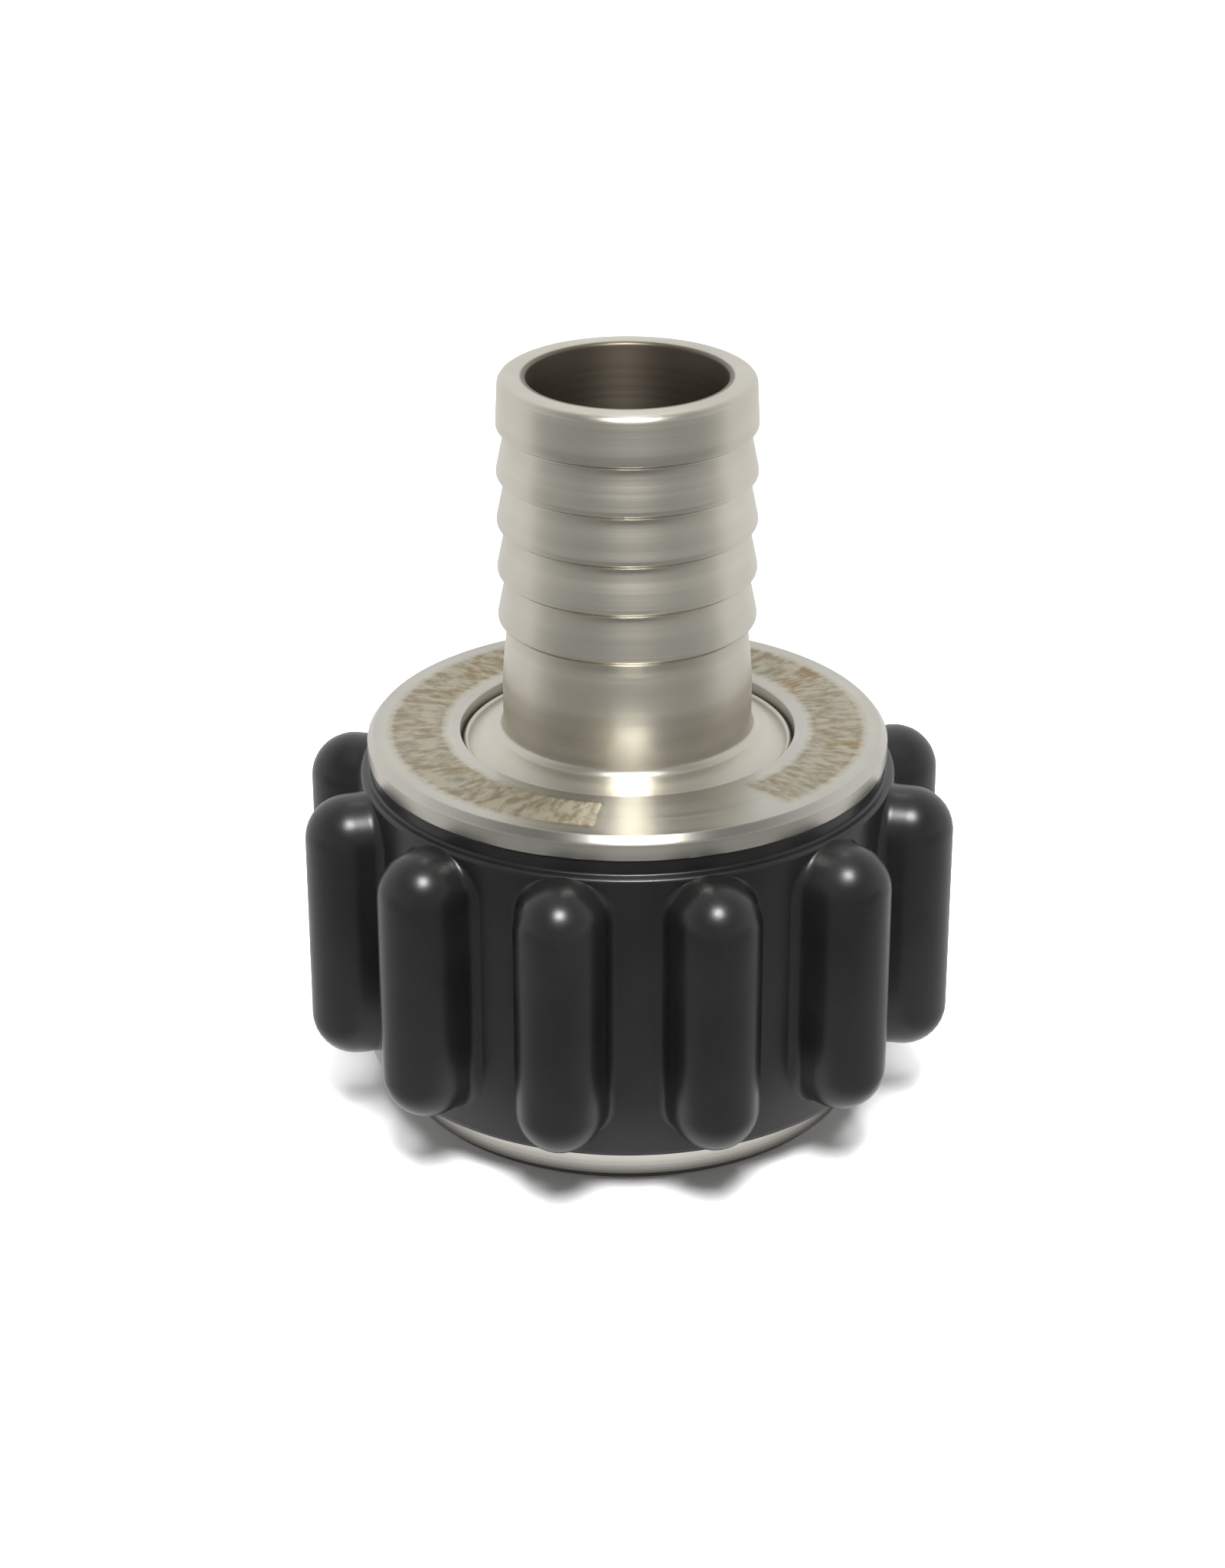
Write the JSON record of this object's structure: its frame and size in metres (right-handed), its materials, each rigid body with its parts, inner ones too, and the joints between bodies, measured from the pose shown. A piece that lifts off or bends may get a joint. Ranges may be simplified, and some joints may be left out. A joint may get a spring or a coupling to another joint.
{
  "type": "hand-tightened hose coupling",
  "caption": "Steel hose barb that swivels in a pipe-threaded steel nut with a lobed black grip, tightened by hand against a round face seal.",
  "frame": {"origin": "on the swivel axis, in the plane of the nut's bottom face, which the coupling stands on", "axes": "+Z along the swivel axis, from the pipe socket towards the hose tail"},
  "size_m": [0.0364, 0.0364, 0.0424],
  "materials": {
    "turned_steel": "satin, turned",
    "grip_plastic": "satin moulded",
    "washer_plastic": "matt",
    "seal_rubber": "matt silicone"
  },
  "bodies": {
    "nut": {"thread_nut": "turned_steel", "face_ring": "turned_steel", "grip_wheel": "grip_plastic"},
    "washer": {"slip_washer": "washer_plastic"},
    "stem": {"hose_stem": "turned_steel", "face_seal": "seal_rubber"}
  },
  "joints": [
    {"name": "stem_float", "type": "slide", "parent": "nut", "child": "washer", "axis": [0, 0, 1], "range_m": [0, 0.00048]},
    {"name": "stem_swivel", "type": "hinge", "parent": "washer", "child": "stem", "pos_m": [0, 0, 0.0165], "axis": [0, 0, 1], "continuous": true}
  ]
}
